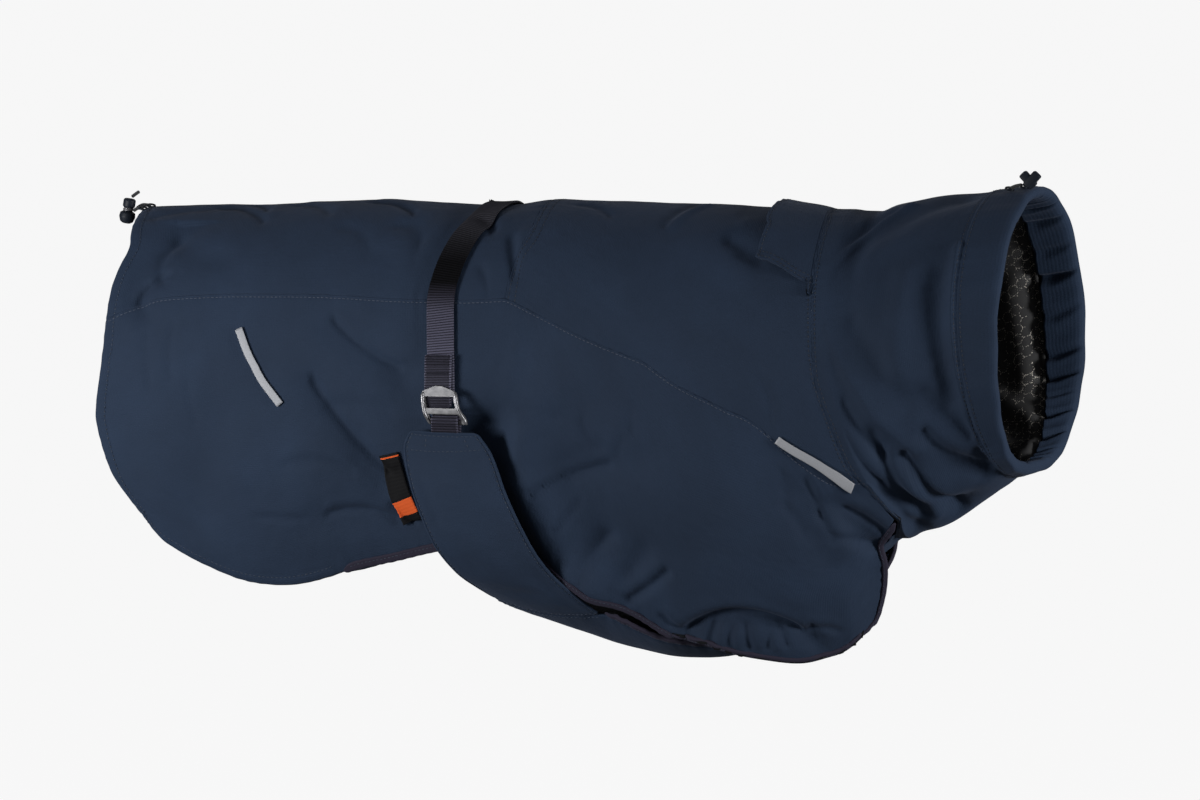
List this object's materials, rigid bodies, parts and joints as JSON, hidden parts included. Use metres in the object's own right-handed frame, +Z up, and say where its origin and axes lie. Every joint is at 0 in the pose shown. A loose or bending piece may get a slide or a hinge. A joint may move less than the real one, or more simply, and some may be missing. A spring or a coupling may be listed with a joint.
{
  "type": "dog jacket",
  "caption": "Dog coat with a stand-up funnel collar, side lobes, a belly panel on a webbing girth strap with ladder-lock buckles, and an open underside.",
  "frame": {"origin": "inner face of the back at the withers, on the centre line, where the wearer's back carries the coat", "axes": "+X towards the neck, +Y to the dog's left, +Z up"},
  "size_m": [0.6865, 0.2006, 0.3446],
  "materials": {
    "shell_cloth": "matte",
    "binding": "matte",
    "webbing": "ribbed",
    "lining": "smooth",
    "buckle_metal": "brushed",
    "reflective": "satin",
    "label_ribbon": "satin",
    "plastic": "satin",
    "drawcord": "braided"
  },
  "bodies": {
    "root": {"back_panel": "shell_cloth", "belly_binding_left": "binding", "belly_binding_right": "binding", "belly_panel": "shell_cloth", "belly_wing_left": "shell_cloth", "belly_wing_right": "shell_cloth", "buckle_left": "buckle_metal", "buckle_right": "buckle_metal", "collar": "shell_cloth", "collar_band": "shell_cloth", "collar_lining": "lining", "girth_strap": "webbing", "harness_flap": "shell_cloth", "hem_binding_left": "binding", "hem_binding_right": "binding", "label": "label_ribbon", "neck_cord_left": "drawcord", "neck_cord_lock": "plastic", "neck_cord_right": "drawcord", "reflective_front_left": "reflective", "reflective_front_right": "reflective", "reflective_rear_left": "reflective", "reflective_rear_right": "reflective", "side_panel_left": "shell_cloth", "side_panel_right": "shell_cloth", "strap_end_left": "webbing", "strap_end_right": "webbing", "tail_cord_end": "drawcord", "tail_cord_left": "drawcord", "tail_cord_lock": "plastic", "tail_cord_right": "drawcord", "wing_loop_left": "webbing", "wing_loop_right": "webbing", "yoke_panel": "shell_cloth"}
  },
  "joints": []
}
